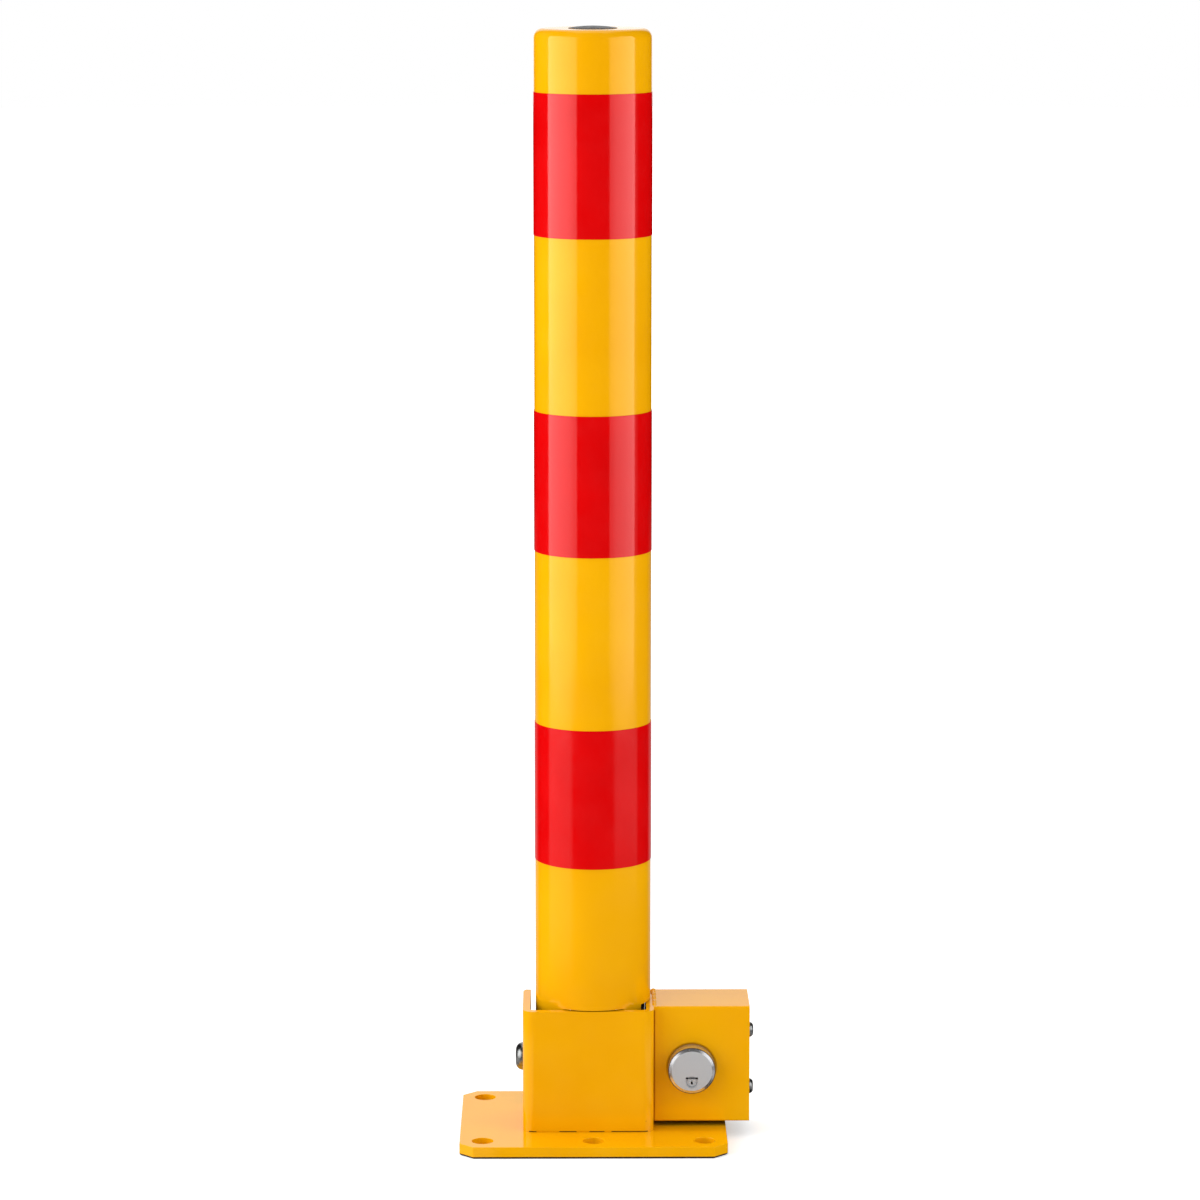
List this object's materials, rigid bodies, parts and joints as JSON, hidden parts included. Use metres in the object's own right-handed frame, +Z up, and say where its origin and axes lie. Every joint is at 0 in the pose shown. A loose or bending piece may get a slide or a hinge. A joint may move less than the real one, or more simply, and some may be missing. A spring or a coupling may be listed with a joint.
{
  "type": "folding parking bollard",
  "caption": "Round yellow post with red bands, hinged in a folded steel bracket on a bolted base plate, held upright or lying flat by a key-operated push lock in a side box.",
  "frame": {"origin": "centre of the base plate's underside, which is the centre of the ground bolt pattern", "axes": "+Z up along the standing post, +Y to the back, the way the post folds, +X to the right, where the lock box is"},
  "size_m": [0.1937, 0.133, 0.7287],
  "materials": {
    "yellow_paint": "glossy yellow powder coat on steel",
    "red_film": "glossy red self-adhesive film",
    "black_rubber": "semi-matt black moulded rubber",
    "zinc_steel": "bright zinc plate on steel",
    "lock_chrome": "satin chrome face with a polished rim",
    "lock_steel": "plain machined steel"
  },
  "bodies": {
    "frame": {"base_plate": "yellow_paint", "hinge_bracket": "yellow_paint", "lock_box": "yellow_paint", "box_cover": "yellow_paint", "cover_bar": "yellow_paint", "cover_screws": "zinc_steel", "lock_sleeve": "yellow_paint", "stop_screw": "zinc_steel", "lock_spring": "zinc_steel"},
    "post": {"post_tube": "yellow_paint", "top_plug": "black_rubber", "foot_plate": "yellow_paint", "left_lug": "yellow_paint", "right_lug": "yellow_paint", "lug_pins": "zinc_steel", "hinge_shaft": "zinc_steel", "shaft_circlip": "zinc_steel", "left_spacer": "zinc_steel", "right_spacer": "zinc_steel", "shaft_screw": "zinc_steel", "red_band_top": "red_film", "red_band_middle": "red_film", "red_band_low": "red_film"},
    "lock": {"lock_barrel": "lock_chrome", "lock_pin": "zinc_steel"},
    "key": {"key_plug": "lock_steel"},
    "latch": {"lock_latch": "lock_steel"}
  },
  "joints": [
    {"name": "post_fold", "type": "hinge", "parent": "frame", "child": "post", "pos_m": [0, 0.0095, 0.0483], "axis": [-1, 0, 0], "range_deg": [0, 90]},
    {"name": "lock_push", "type": "slide", "parent": "frame", "child": "lock", "axis": [0, 1, 0], "range_m": [0, 0.009], "stiffness_N_per_m": 300, "deforming": ["lock_spring"]},
    {"name": "key_turn", "type": "hinge", "parent": "lock", "child": "key", "pos_m": [0.0647, -0.0286, 0.0407], "axis": [0, 1, 0], "range_deg": [0, 90]},
    {"name": "latch_slide", "type": "slide", "parent": "lock", "child": "latch", "axis": [0, 0, -1], "range_m": [0, 0.0022]}
  ],
  "couplings": [
    {"joint": "key_turn", "follows": "latch_slide", "rad_per_m": 713.93}
  ]
}
